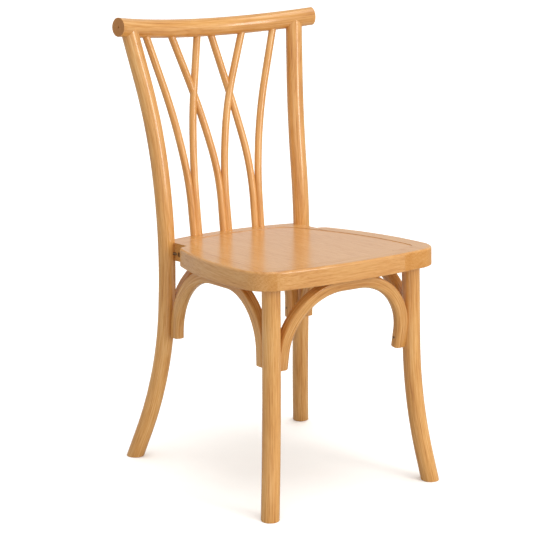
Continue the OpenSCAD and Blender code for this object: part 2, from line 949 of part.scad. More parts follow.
module arch_section() {
    h = arch_b / 2;
    union() {
        translate([arch_out_r, -h])
            square([arch_a - arch_in_r - arch_out_r, 2 * h]);
        translate([0, -h + arch_out_r])
            square([arch_out_r, 2 * (h - arch_out_r)]);
        translate([arch_a - arch_in_r, -h + arch_in_r])
            square([arch_in_r, 2 * (h - arch_in_r)]);
        for (s = [-1, 1]) {
            translate([arch_out_r, s * (h - arch_out_r)])
                circle(r = arch_out_r);
            translate([arch_a - arch_in_r, s * (h - arch_in_r)])
                circle(r = arch_in_r);
        }
    }
}

// Half an arch: leg at outer distance w, top at height 0, end at depth low below it,
// running to the middle at 0; local X runs outward, local Z up
module half_arch(w, r, low) {
    // limb
    translate([w, 0, -low])
        mirror([1, 0, 0])
            linear_extrude(low - r)
                arch_section();
    // bend
    translate([w - r, 0, -r])
        rotate([90, 0, 0])
            rotate_extrude(angle = 90)
                translate([r, 0])
                    mirror([1, 0])
                        arch_section();
    // top
    if (w - r > 0)
        translate([0, 0, 0])
            rotate([0, 90, 0])
                linear_extrude(w - r)
                    arch_section();
}

// Front arch: its plane leans so that the top comes forward under the seat
front_arch_rise = seat_under(leg_y) - front_arch_end_h;
front_arch_y = leg_y - (front_arch_rise - front_arch_meet) * sin(front_arch_lean);
front_arch_top = seat_under(front_arch_y) + arch_trim;

module front_arch_half_shape() {
    translate([0, front_arch_y, front_arch_top])
        rotate([front_arch_lean, 0, 0])
            half_arch(front_arch_half, front_arch_r, (front_arch_top - front_arch_end_h) / cos(front_arch_lean));
}

rear_arch_y = post_y + rear_arch_back;
rear_arch_top = seat_under(rear_arch_y) + arch_trim;

module rear_arch_half_shape() {
    translate([0, rear_arch_y, rear_arch_top])
        half_arch(rear_arch_half, rear_arch_r, rear_arch_top - rear_arch_end_h);
}

// Side arch, right side: it runs along the seat's fall
side_arch_mid = side_arch_rear_y - side_arch_rear_r;
side_arch_top = seat_under(side_arch_mid) + arch_trim;

module side_arch_shape() {
    translate([side_arch_x, side_arch_mid, side_arch_top])
        rotate([-seat_tilt, 0, side_arch_turn]) {
            rotate([0, 0, 90])
                half_arch(side_arch_rear_r, side_arch_rear_r, side_arch_top - side_arch_rear_h);
            rotate([0, 0, -90])
                half_arch(
                    side_arch_mid - side_arch_front_y, side_arch_front_r,
                    side_arch_top - side_arch_front_h
                );
        }
}

module front_arch() {
    color(honey)
        place()
            difference() {
                for (side = [-1, 1])
                    on_side(side)
                        front_arch_half_shape();
                above_underside();
            }
}

module rear_arch() {
    color(honey_dark)
        place()
            difference() {
                for (side = [-1, 1])
                    on_side(side)
                        rear_arch_half_shape();
                above_underside();
            }
}

module side_arch(side) {
    on_side(side)
        difference() {
            side_arch_shape();
            above_underside();
        }
}

module left_arch() {
    color(honey_dark)
        place()
            side_arch(-1);
}

module right_arch() {
    color(honey_dark)
        place()
            side_arch(1);
}

// Fittings, right side

module at_nut() {
    translate([nut_x, nut_y, seat_under(nut_y) + bolt_up])
        children();
}

module dowel_shape(gap, out) {
    at_nut()
        rotate([0, 90, 0])
            translate([0, 0, -nut_l / 2 - gap])
                cylinder(h = nut_l + gap + out, d = nut_d + 2 * gap);
}

module bolt_shape(gap) {
    at_nut()
        rotate([-90, 0, -bolt_turn]) {
            translate([0, 0, -nut_d / 2 - 1])
                cylinder(h = bolt_seat + nut_d / 2 + 1, d = bolt_d + 2 * gap);
            translate([0, 0, bolt_seat])
                cylinder(h = bolt_head_h + (gap > 0 ? post_d / 2 : 0), d = bolt_head_d + 2 * gap);
        }
}

module post_bolts() {
    color(steel)
        place()
            for (side = [-1, 1])
                on_side(side)
                    bolt_shape(0);
}

module cross_dowels() {
    color(steel)
        place()
            for (side = [-1, 1])
                on_side(side)
                    difference() {
                        dowel_shape(0, 0);
                        bolt_shape(fit_gap);
                    }
}

crest_rail();
left_post();
right_post();
left_front_leg();
right_front_leg();
left_outer_spindle();
left_crossing_spindle();
left_middle_spindle();
right_middle_spindle();
right_crossing_spindle();
right_outer_spindle();
seat_front_rail();
seat_left_rail();
seat_right_rail();
seat_rear_rail();
seat_panel();
front_arch();
rear_arch();
left_arch();
right_arch();
post_bolts();
cross_dowels();
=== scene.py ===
"""Slat back dining chair of bent, clear-lacquered oak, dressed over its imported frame.

Sizes are in millimetres and read in the joiner's own frame: X to the right, Y back from
the middle of the seat's front edge, Z up from the floor. `metres` carries a point into
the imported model's frame, whose origin lies under the middle of the chair.
"""

import logging
import math
from dataclasses import dataclass, field
from enum import Enum
from functools import cache
from typing import Any, Optional, Sequence

import bmesh
import bpy
from mathutils import Matrix, Vector


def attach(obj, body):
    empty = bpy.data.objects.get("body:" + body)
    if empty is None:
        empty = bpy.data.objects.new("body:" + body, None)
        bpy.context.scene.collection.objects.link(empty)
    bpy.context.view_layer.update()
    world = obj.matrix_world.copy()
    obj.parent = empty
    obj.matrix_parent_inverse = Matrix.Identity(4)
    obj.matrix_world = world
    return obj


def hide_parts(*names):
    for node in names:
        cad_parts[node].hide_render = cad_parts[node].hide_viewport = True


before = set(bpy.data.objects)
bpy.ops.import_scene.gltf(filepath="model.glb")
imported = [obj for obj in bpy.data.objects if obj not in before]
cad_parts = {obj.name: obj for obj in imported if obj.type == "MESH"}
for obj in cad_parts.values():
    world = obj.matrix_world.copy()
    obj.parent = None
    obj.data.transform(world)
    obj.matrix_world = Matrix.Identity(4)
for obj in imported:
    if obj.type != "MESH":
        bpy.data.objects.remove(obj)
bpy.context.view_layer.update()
LOG = logging.getLogger("chair")

Node, Tree, Socket = bpy.types.Node, bpy.types.NodeTree, bpy.types.NodeSocket
Mesh, Object = bpy.types.Mesh, bpy.types.Object
Pair = tuple[float, float]
Triple = tuple[float, float, float]

ROOT = "root"
MM = 1000.0  # millimetres in a metre
MIDDLE_Y = 273.747  # half the chair's depth, from the seat's front edge
FLAT_TURN = 32.0  # degrees; a sharper edge than this is drawn as an edge
SAGITTA = 0.04  # how far a bend's facets may fall short of the true arc
RIM_CUTS = 3  # facets of a sawn rim's rounding
DOWN: Triple = (0.0, 0.0, -1.0)


class Slot(Enum):
    """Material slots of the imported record."""

    FRAME = "frame_wood"
    SPINDLE = "spindle_wood"
    SEAT = "seat_frame_wood"
    VENEER = "seat_veneer"
    ARCH = "arch_wood"
    STEEL = "fitting_steel"


class Side(Enum):
    """The two sides of the chair; the front view has LEFT at negative X."""

    LEFT = -1
    RIGHT = 1

    @property
    def word(self) -> str:
        """The side's word in piece names."""
        return self.name.lower()


def metres(point: Sequence[float]) -> Vector:
    """A joiner's point in millimetres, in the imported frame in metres."""
    return Vector((point[0], point[1] - MIDDLE_Y, point[2])) / MM


def mirrored(point: Sequence[float], side: Side) -> Vector:
    """A point drawn for the right side, on the side asked for."""
    return Vector((point[0] * side.value, point[1], point[2]))


def run_on(end: Vector, inner: Vector, length: float) -> Vector:
    """A path's end, run on by a length away from the point before it."""
    return end + (end - inner).normalized() * length


def put(name: str, data: Any) -> Object:
    """Puts new data into the scene as an object."""
    made = bpy.data.objects.new(name, data)
    bpy.context.scene.collection.objects.link(made)
    return made


def aimed(made: Object, place: Triple, to: Sequence[float]) -> Object:
    """Sets a camera or a lamp at a place and turns it along a direction."""
    made.location = place
    made.rotation_euler = Vector(to).to_track_quat("-Z", "Y").to_euler()
    return made


def slant(height: float, azimuth: float) -> Triple:
    """The way down into the chair's depth, by its slope and its turn to the right."""
    e, a = math.radians(height), math.radians(azimuth)
    return (math.cos(e) * math.sin(a), math.cos(e) * math.cos(a), -math.sin(e))


# Node trees


def linear(code: str) -> tuple[float, float, float, float]:
    """Turns an sRGB hex colour to linear values.

    Args:
        code: six hex digits.

    Returns:
        Red, green, blue and an alpha of 1.
    """
    parts = [int(code[i:i + 2], 16) / 255.0 for i in (0, 2, 4)]
    flat = [p / 12.92 if p <= 0.04045 else ((p + 0.055) / 1.055) ** 2.4 for p in parts]
    return (flat[0], flat[1], flat[2], 1.0)


def add(tree: Tree, kind: str, feeds: Optional[dict] = None, **settings: Any) -> Node:
    """Adds a node with its settings, constants and links.

    Args:
        tree: the node tree.
        kind: the node's type name.
        feeds: input name or number to a constant or to another node's output socket.
        settings: attributes of the node itself.

    Returns:
        The new node.
    """
    node = tree.nodes.new(kind)
    for name, value in settings.items():
        setattr(node, name, value)
    for key, value in (feeds or {}).items():
        if isinstance(value, Socket):
            tree.links.new(value, node.inputs[key])
        else:
            node.inputs[key].default_value = value
    return node


def first(tree: Tree, kind: str, feeds: Optional[dict] = None, **settings: Any) -> Socket:
    """The first output of a new node."""
    return add(tree, kind, feeds, **settings).outputs[0]


def number(tree: Tree, operation: str, *values: Any) -> Socket:
    """The result of a sum of numbers."""
    return first(tree, "ShaderNodeMath", dict(enumerate(values)), operation=operation)


def vector(tree: Tree, operation: str, *values: Any, **named: Any) -> Socket:
    """The result of a sum of vectors, which is a number for a length or a dot product."""
    feeds = {**dict(enumerate(values)), **named}
    outputs = add(tree, "ShaderNodeVectorMath", feeds, operation=operation).outputs
    return outputs["Value" if operation in ("LENGTH", "DOT_PRODUCT") else "Vector"]


def remap(tree: Tree, value: Socket, window: Pair, onto: Pair) -> Socket:
    """A number's place in one range, carried over to another and held inside it."""
    names = ("From Min", "From Max", "To Min", "To Max")
    return first(tree, "ShaderNodeMapRange", {"Value": value, **dict(zip(names, window + onto))})


def ramp(tree: Tree, value: Socket, stops: Sequence[tuple[float, Sequence[float]]]) -> Socket:
    """Adds a colour ramp.

    Args:
        tree: the node tree.
        value: what runs along the ramp.
        stops: place and linear colour of each stop, in order.

    Returns:
        The colour.
    """
    node = add(tree, "ShaderNodeValToRGB", {"Fac": value})
    elements = node.color_ramp.elements
    for stop, (place, colour) in zip(elements, (stops[0], stops[-1])):
        stop.position, stop.color = place, colour
    for place, colour in stops[1:-1]:
        elements.new(place).color = colour
    return node.outputs["Color"]


def mix(tree: Tree, share: Socket, ground: Socket, over: Any, blend: str = "MIX") -> Socket:
    """A colour laid over another by a share."""
    feeds = {0: share, 6: ground, 7: over}
    return add(tree, "ShaderNodeMix", feeds, data_type="RGBA", blend_type=blend).outputs[2]


def bloomed(tree: Tree, size_mm: float, octaves: float, roughness: float) -> Socket:
    """An even noise in the piece's own space, with blotches of a size."""
    place = add(tree, "ShaderNodeTexCoord").outputs["Object"]
    feeds = {"Vector": place, "Scale": MM / size_mm, "Detail": octaves, "Roughness": roughness}
    return add(tree, "ShaderNodeTexNoise", feeds).outputs["Fac"]


def fresh(owner: Any) -> Tree:
    """The emptied node tree of a material or a world."""
    owner.use_nodes = True
    owner.node_tree.nodes.clear()
    return owner.node_tree


def surfaced(tree: Tree, feeds: dict) -> None:
    """Ends a material's tree with its shader."""
    shader = first(tree, "ShaderNodeBsdfPrincipled", feeds)
    add(tree, "ShaderNodeOutputMaterial", {"Surface": shader})


# Finishes


@dataclass(frozen=True)
class Figure:
    """A noise drawn out along the fibre, by the size of its features in millimetres."""

    wide: float
    long: float
    octaves: float

    def on(self, tree: Tree, grain: Socket, output: str = "Fac") -> Socket:
        """Adds the noise over the grain attribute."""
        drawn = vector(tree, "MULTIPLY", grain, (MM / self.wide, MM / self.wide, MM / self.long))
        feeds = {"Vector": drawn, "Scale": 1.0, "Detail": self.octaves, "Roughness": 0.5}
        return add(tree, "ShaderNodeTexNoise", feeds).outputs[output]


NOISE_SPAN: Pair = (0.3, 0.7)  # nearly all of a noise lies between these
NOISE_GAIN = 2.2  # brings a noise's narrow span up to about a whole one
PATCH_GAIN = 1.6


@dataclass(frozen=True)
class Lacquered:
    """Steam-bent or planed oak under a clear satin lacquer.

    The eye gets a golden honey ground, growth rings cut into long lines or arches, soft
    streaks along the fibre, a few short pores, slow changes of tone, browner end grain,
    and a clear coat whose highlights run along the rods.
    """

    name: str
    tones: tuple[str, ...] = ("b47439", "d1944d", "e2a962", "efc080")  # late to early wood
    places: tuple[float, ...] = (0.08, 0.36, 0.62, 0.92)  # where each tone lies on the ramp
    level: float = 0.52  # the middle tone, moved by each of the next four
    ring: float = 0.16
    streak: float = 0.44
    patch: float = 0.36
    hair: float = 0.36
    ring_mm: float = 4.0  # drawn wider than the real 2 mm so that rings show
    ring_tints: tuple[Pair, ...] = (
        (0.0, 0.75), (0.4, 0.6), (0.78, 0.0), (0.9, 0.45), (1.0, 0.75),
    )  # how light the wood is through one ring
    wander: Figure = Figure(70.0, 260.0, 2.0)  # the trunk's centre line
    wander_mm: float = 20.0
    streaks: Figure = Figure(3.0, 110.0, 3.0)
    patches: Figure = Figure(24.0, 170.0, 2.0)
    hairs: Figure = Figure(1.3, 45.0, 2.0)
    pores: Figure = Figure(0.8, 14.0, 1.0)  # real ones are 0.3 mm wide, drawn coarser
    pore_span: Pair = (0.60, 0.74)
    pore: float = 0.24
    end: str = "b47d50"  # end grain, which drinks the lacquer
    end_span: Pair = (0.70, 0.97)  # how squarely a face stands across the fibre
    end_share: float = 0.85
    coat: Pair = (1.0, 0.15)  # on long grain, on end grain
    coat_roughness: float = 0.19
    coat_ior: float = 1.6
    rough: Pair = (0.48, 0.38)  # in the streaks' dark and light parts
    pore_depth: float = 2.0  # against the streaks' relief
    bump: float = 0.35
    bump_mm: float = 0.04

    def make(self) -> bpy.types.Material:
        """Builds the material.

        Returns:
            A material that reads the pieces' own grain and fibre attributes.
        """
        material = bpy.data.materials.new(self.name)
        tree = fresh(material)
        grain = add(tree, "ShaderNodeAttribute", attribute_name="grain").outputs["Vector"]
        fibre = add(tree, "ShaderNodeAttribute", attribute_name="fibre").outputs["Vector"]

        # Layers add up to one tone: rings, streaks along the fibre, slow patches, hairs
        streak = self.streaks.on(tree, grain)
        layers = (
            (self.rings(tree, grain), self.ring),
            (streak, self.streak * NOISE_GAIN),
            (self.patches.on(tree, grain), self.patch * PATCH_GAIN),
            (self.hairs.on(tree, grain), self.hair * NOISE_GAIN),
        )
        tone: Any = self.level - 0.5 * sum(share for _, share in layers)
        for layer, share in layers:
            tone = number(tree, "MULTIPLY_ADD", layer, share, tone)
        ground = ramp(tree, tone, list(zip(self.places, map(linear, self.tones))))

        # Pores: short thin dashes along the fibre
        pores = remap(tree, self.pores.on(tree, grain), self.pore_span, (0.0, self.pore))
        pored = mix(tree, pores, ground, linear(self.tones[0]), "MULTIPLY")

        # End grain: browner and duller where the face stands across the fibre
        normal = add(tree, "ShaderNodeNewGeometry").outputs["Normal"]
        square = number(tree, "ABSOLUTE", vector(tree, "DOT_PRODUCT", normal, fibre))
        ended = remap(tree, square, self.end_span, (0.0, self.end_share))

        relief = number(tree, "MULTIPLY_ADD", pores, -self.pore_depth, streak)
        bump = {"Height": relief, "Strength": self.bump, "Distance": self.bump_mm / MM}
        surfaced(tree, {
            "Base Color": mix(tree, ended, pored, linear(self.end)),
            "Roughness": remap(tree, streak, NOISE_SPAN, self.rough),
            "IOR": 1.5,
            "Specular IOR Level": 0.0,  # under the lacquer the wood's own face has no shine
            "Coat Weight": remap(tree, ended, (0.0, self.end_share), self.coat),
            "Coat Roughness": self.coat_roughness,
            "Coat IOR": self.coat_ior,
            "Normal": first(tree, "ShaderNodeBump", bump),
        })
        return material

    def rings(self, tree: Tree, grain: Socket) -> Socket:
        """Draws the growth rings round a centre line that wanders, so they swell to arches.

        Args:
            tree: the material's tree.
            grain: the grain attribute.

        Returns:
            How light the wood is, by its place in its ring.
        """
        sway = vector(tree, "ADD", self.wander.on(tree, grain, "Color"), (-0.5, -0.5, -0.5))
        shift = vector(tree, "SCALE", sway, Scale=2.0 * self.wander_mm / MM)
        moved = vector(tree, "ADD", grain, shift)
        reach = vector(tree, "LENGTH", vector(tree, "MULTIPLY", moved, (1.0, 1.0, 0.0)))
        turn = number(tree, "FRACT", number(tree, "MULTIPLY", reach, MM / self.ring_mm))
        return ramp(tree, turn, [(p, (tint, tint, tint, 1.0)) for p, tint in self.ring_tints])


@dataclass(frozen=True)
class ZincSteel:
    """Zinc-plated steel of the screws, bolts and cross dowels, dulled by the plating bath.

    The eye gets a small, slightly warm grey glint with a blotchy crystalline bloom.
    """

    name: str = "zinc_plated_steel"
    bright: str = "9c7f5c"
    dull: str = "64503a"
    span: Pair = (0.35, 0.65)
    bloom_mm: float = 1.2
    rough: Pair = (0.50, 0.33)

    def make(self) -> bpy.types.Material:
        """Builds the material.

        Returns:
            A metal whose colour and roughness vary with the bloom.
        """
        material = bpy.data.materials.new(self.name)
        tree = fresh(material)
        bloom = bloomed(tree, self.bloom_mm, octaves=3.0, roughness=0.6)
        stops = list(zip(self.span, (linear(self.dull), linear(self.bright))))
        surfaced(tree, {
            "Base Color": ramp(tree, bloom, stops),
            "Metallic": 1.0,
            "Roughness": remap(tree, bloom, NOISE_SPAN, self.rough),
        })
        return material


@dataclass(frozen=True)
class StudioPaper:
    """Matt white background paper rolled out as the floor.

    The eye gets an almost even pale ground that takes only soft contact shadows.
    """

    name: str = "studio_paper"
    pale: str = "fcfcfb"
    shade: str = "f8f8f7"
    mottle_mm: float = 60.0
    bounce: float = 0.40  # towards the chair, as from a floor further off
    roughness: float = 0.9

    def make(self) -> bpy.types.Material:
        """Builds the material.

        Returns:
            A matt paper with a very faint mottle, white to the eye.
        """
        material = bpy.data.materials.new(self.name)
        tree = fresh(material)
        stops = ((0.0, linear(self.shade)), (1.0, linear(self.pale)))
        mottle = bloomed(tree, self.mottle_mm, octaves=2.0, roughness=0.5)
        tone = ramp(tree, mottle, stops)
        seen = add(tree, "ShaderNodeLightPath").outputs["Is Camera Ray"]
        share = remap(tree, seen, (0.0, 1.0), (self.bounce, 1.0))
        surfaced(tree, {
            "Base Color": vector(tree, "SCALE", tone, Scale=share),
            "Roughness": self.roughness,
            "Specular IOR Level": 0.2,
        })
        return material


FINISHES: dict[Slot, Any] = {
    Slot.FRAME: Lacquered("bent_oak_satin_lacquer"),
    Slot.SPINDLE: Lacquered("oak_dowel_satin_lacquer", ring_mm=3.0, patch=0.35, level=0.56),
    Slot.SEAT: Lacquered(
        "solid_oak_satin_lacquer", ("b67840", "cf9350", "dba462", "e6b67a"), end="b87c42",
        end_share=0.35, ring_mm=8.0, streak=0.30, patch=0.40, wander_mm=26.0,
        coat_roughness=0.24,
    ),
    Slot.VENEER: Lacquered(
        "crown_cut_oak_veneer", ("c0854a", "d2985a", "dca567", "e4b177"), ring_mm=6.0,
        ring=0.14, patch=0.24, streak=0.26, wander_mm=30.0, coat_roughness=0.24,
    ),
    Slot.ARCH: Lacquered(
        "bent_oak_arch_lacquer", ("aa6c34", "cc8e48", "dca45e", "eabb7c"), ring_mm=5.0,
        ring=0.22,
    ),
    Slot.STEEL: ZincSteel(),
}


@cache
def finish_of(slot: Slot) -> bpy.types.Material:
    """The material of a slot, made once."""
    return FINISHES[slot].make()


# Meshes


def opened(mesh: Mesh) -> bmesh.types.BMesh:
    """A mesh, opened for editing."""
    bm = bmesh.new()
    bm.from_mesh(mesh)
    return bm


def closed(bm: bmesh.types.BMesh, mesh: Mesh) -> None:
    """Writes an edited mesh back."""
    bm.to_mesh(mesh)
    bm.free()


def rounded(bm: bmesh.types.BMesh, rim: set, offset: float) -> None:
    """Rounds a rim of edges by an offset in metres."""
    bmesh.ops.bevel(bm, geom=[e for e in bm.edges if e in rim], offset=offset,
                    segments=RIM_CUTS, profile=0.5, affect="EDGES", clamp_overlap=True)


def write(mesh: Mesh, name: str, values: Sequence, kind: str = "FLOAT_VECTOR") -> None:
    """Writes an attribute on a mesh's points."""
    key = "vector" if kind == "FLOAT_VECTOR" else "value"
    mesh.attributes.new(name, kind, "POINT").data.foreach_set(key, values)


def evaluated(piece: Object, name: str) -> Mesh:
    """The mesh that a piece's modifiers make of it."""
    graph = bpy.context.evaluated_depsgraph_get()
    made = bpy.data.meshes.new_from_object(
        piece.evaluated_get(graph), preserve_all_data_layers=True, depsgraph=graph)
    made.name = name
    return made


# Paths and sweeps


@dataclass(frozen=True)
class BentPath:
    """Straights joined by true arcs, as a rod leaves the bending form."""

    corners: tuple[Vector, ...]
    radii: tuple[float, ...]

    def points(self) -> list[Vector]:
        """Lays the path out as a polyline.

        Returns:
            Points in millimetres, closer together on the tighter bends.
        """
        out = [Vector(self.corners[0])]
        for i, radius in enumerate(self.radii, start=1):
            q = Vector(self.corners[i])
            u = (q - Vector(self.corners[i - 1])).normalized()
            v = (Vector(self.corners[i + 1]) - q).normalized()
            turn = u.angle(v)
            inward = (v - u * v.dot(u)).normalized()
            centre = q - u * radius * math.tan(turn / 2) + inward * radius
            steps = max(2, math.ceil(turn / (2 * math.acos(1 - SAGITTA / radius))))
            for k in range(steps + 1):
                a = turn * k / steps
                out.append(centre + radius * (u * math.sin(a) - inward * math.cos(a)))
        out.append(Vector(self.corners[-1]))
        return out


def read(tree: Tree, name: str, kind: str = "FLOAT_VECTOR") -> Socket:
    """A named attribute, read in a geometry tree."""
    node = add(tree, "GeometryNodeInputNamedAttribute", {"Name": name}, data_type=kind)
    return node.outputs["Attribute"]


def store(tree: Tree, mesh: Socket, name: str, value: Socket, kind: str = "FLOAT_VECTOR") -> Socket:
    """Stores an attribute on a geometry's points and returns the geometry."""
    node = add(tree, "GeometryNodeStoreNamedAttribute", {"Geometry": mesh, "Name": name},
               data_type=kind, domain="POINT")
    tree.links.new(value, node.inputs["Value"])
    return node.outputs["Geometry"]


def new_tree(name: str, sizes: dict[str, tuple[str, Any]]) -> Tree:
    """Starts a geometry tree.

    Args:
        name: the tree's name.
        sizes: input name to its socket type and default.

    Returns:
        The tree with its named inputs and its output.
    """
    tree = bpy.data.node_groups.new(name, "GeometryNodeTree")
    tree.interface.new_socket("Geometry", in_out="INPUT", socket_type="NodeSocketGeometry")
    for label, (kind, default) in sizes.items():
        socket = tree.interface.new_socket(label, in_out="INPUT", socket_type=kind)
        if default is not None:
            socket.default_value = default
    tree.interface.new_socket("Geometry", in_out="OUTPUT", socket_type="NodeSocketGeometry")
    return tree


@cache
def sweep_tree(moulded: bool) -> Tree:
    """Builds, once, the tree that runs a wooden section along a path.

    The grain attribute holds the place across the section and the length along the path,
    in metres, so the figure follows every bend; fibre holds the path's direction.

    Args:
        moulded: True where the section is drawn in the same mesh, False for a round rod.

    Returns:
        The tree.
    """
    tree = new_tree("arch_moulding" if moulded else "bent_rod", {
        "Diameter": ("NodeSocketFloat", 0.03),
        "Sides": ("NodeSocketInt", 48),
        "Heart": ("NodeSocketVector", (0.03, 0.02, 0.0)),
        "Wood": ("NodeSocketMaterial", None),
    })
    given = add(tree, "NodeGroupInput").outputs
    if moulded:
        feeds = {"Geometry": given["Geometry"], "Selection": read(tree, "section", "BOOLEAN")}
        parts = add(tree, "GeometryNodeSeparateGeometry", feeds, domain="POINT").outputs
        section = first(tree, "GeometryNodeMeshToCurve", {"Mesh": parts["Selection"]})
        path = first(tree, "GeometryNodeMeshToCurve", {"Mesh": parts["Inverted"]})
        path = first(tree, "GeometryNodeSetCurveNormal",
                     {"Curve": path, "Normal": read(tree, "aim")}, mode="FREE")
    else:
        half = number(tree, "MULTIPLY", given["Diameter"], 0.5)
        feeds = {"Resolution": given["Sides"], "Radius": half}
        section = first(tree, "GeometryNodeCurvePrimitiveCircle", feeds)
        path = first(tree, "GeometryNodeMeshToCurve", {"Mesh": given["Geometry"]})

    along = add(tree, "GeometryNodeSplineParameter").outputs["Length"]
    path = store(tree, path, "run", along, "FLOAT")
    path = store(tree, path, "fibre", first(tree, "GeometryNodeInputTangent"))
    section = store(tree, section, "across", first(tree, "GeometryNodeInputPosition"))
    feeds = {"Curve": path, "Profile Curve": section, "Fill Caps": True}
    mesh = first(tree, "GeometryNodeCurveToMesh", feeds)
    lengthwise = first(tree, "ShaderNodeCombineXYZ", {"Z": read(tree, "run", "FLOAT")})
    grain = vector(tree, "ADD", read(tree, "across"), lengthwise)
    mesh = store(tree, mesh, "grain", vector(tree, "ADD", grain, given["Heart"]))
    mesh = first(tree, "GeometryNodeSetShadeSmooth", {"Geometry": mesh, "Shade Smooth": True})
    mesh = first(tree, "GeometryNodeSetMaterial", {"Geometry": mesh, "Material": given["Wood"]})
    add(tree, "NodeGroupOutput", {"Geometry": mesh})
    return tree


def grown(name: str, mesh: Mesh, tree: Tree, sizes: dict[str, Any]) -> Object:
    """Runs a geometry tree over a mesh and keeps the result as a plain mesh.

    Args:
        name: the new piece's name.
        mesh: the tree's starting mesh.
        tree: the geometry tree.
        sizes: values of the tree's named inputs.

    Returns:
        The piece, with no modifier left.
    """
    source = put(name + "_source", mesh)
    modifier = source.modifiers.new(tree.name, "NODES")
    modifier.node_group = tree
    for socket in tree.interface.items_tree:
        if socket.item_type == "SOCKET" and socket.in_out == "INPUT" and socket.name in sizes:
            modifier[socket.identifier] = sizes[socket.name]
    made = evaluated(source, name)
    bpy.data.objects.remove(source)
    return put(name, made)


def swept(node: str, points: Sequence[Vector], slot: Slot, heart: Triple,
          aims: Sequence[Vector] = (), section: Sequence[Vector] = (), **sizes: Any) -> Object:
    """Sweeps a wooden section along a path.

    Args:
        node: the CAD node it stands for.
        points: the path in millimetres.
        slot: its material slot.
        heart: where the trunk's heart lies from the path, and a start along the grain.
        aims: direction of a moulded section's X axis at each point.
        section: that section's outline in metres, or nothing for a round rod.
        sizes: a rod's Diameter in metres and its Sides.

    Returns:
        The piece.
    """
    n, m = len(points), len(section)
    mesh = bpy.data.meshes.new(node + "_bent_path")
    edges = [(i, i + 1) for i in range(n - 1)] + [(n + i, n + (i + 1) % m) for i in range(m)]
    mesh.from_pydata([tuple(p) for p in (*map(metres, points), *section)], edges, [])
    if section:
        write(mesh, "section", [False] * n + [True] * m, "BOOLEAN")
        write(mesh, "aim", [c for a in aims for c in a] + [0.0] * 3 * m)
    sizes.update(Heart=tuple(h / MM for h in heart), Wood=finish_of(slot))
    return grown(node + "_bent", mesh, sweep_tree(bool(section)), sizes)


CAP_FACING = 0.99  # how squarely a sawn end faces its saw's way
MARK_TAPER, MARK_DEPTH = 0.85, 3.0  # of a centre mark, against its radius


def trimmed(piece: Object, at: Vector, outward: Vector, soften: float, mark: float = 0.0) -> None:
    """Saws a piece off along a plane and softens the new rim.

    Args:
        piece: the piece, whose mesh changes.
        at: a point of the plane in metres.
        outward: the side that is taken away.
        soften: rounding of the rim in millimetres.
        mark: radius of the lathe's centre mark in millimetres.
    """
    bm = opened(piece.data)
    cut = bmesh.ops.bisect_plane(bm, geom=bm.verts[:] + bm.edges[:] + bm.faces[:],
                                 plane_co=at, plane_no=outward, clear_outer=True)
    rim = [e for e in cut["geom_cut"] if isinstance(e, bmesh.types.BMEdge)]
    for face in bmesh.ops.contextual_create(bm, geom=rim)["faces"]:
        face.smooth = True
    bm.normal_update()
    if soften > 0:
        rounded(bm, set(rim), soften / MM)
    if mark > 0:
        bm.normal_update()
        caps = [f for f in bm.faces if abs(f.normal.dot(outward)) > CAP_FACING]
        cap = max(caps, key=lambda f: f.calc_area())
        reach = math.sqrt(cap.calc_area() / math.pi)
        for scale, sink in ((mark / MM / reach, 0.0), (MARK_TAPER, mark / MM * MARK_DEPTH)):
            cap = bmesh.ops.extrude_discrete_faces(bm, faces=[cap])["faces"][0]
            middle = cap.calc_center_median()
            for v in cap.verts:
                v.co = middle + (v.co - middle) * scale - outward.normalized() * sink
    bmesh.ops.recalc_face_normals(bm, faces=bm.faces[:])
    closed(bm, piece.data)


def settled(piece: Object, slot: Slot, *nodes: str, crease: bool = True) -> None:
    """Gives a finished piece its edges and its body, hides the nodes it stands for and logs its
    slot.

    Args:
        piece: the piece.
        slot: its material slot.
        nodes: CAD nodes that it replaces.
        crease: whether its edges are still to be sorted into sharp and smooth.
    """
    if crease:
        piece.data.set_sharp_from_angle(angle=math.radians(FLAT_TURN))
    attributes = piece.data.attributes
    for extra in ("run", "across", "section", "aim"):
        if extra in attributes:
            attributes.remove(attributes[extra])
    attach(piece, ROOT)
    if nodes:
        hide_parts(*nodes)
    LOG.info("%s: %d faces, %s", piece.name, len(piece.data.polygons), slot.value)


def upright(node: str, path: BentPath, diameter: float, heart: Triple, soften: float) -> Object:
    """Sweeps a leg or a post and saws its foot level with the floor."""
    piece = swept(node, path.points(), Slot.FRAME, heart, Diameter=diameter / MM, Sides=56)
    trimmed(piece, Vector((0, 0, 0)), Vector(DOWN), soften)
    return piece


# Back: crest rail, posts and spindles


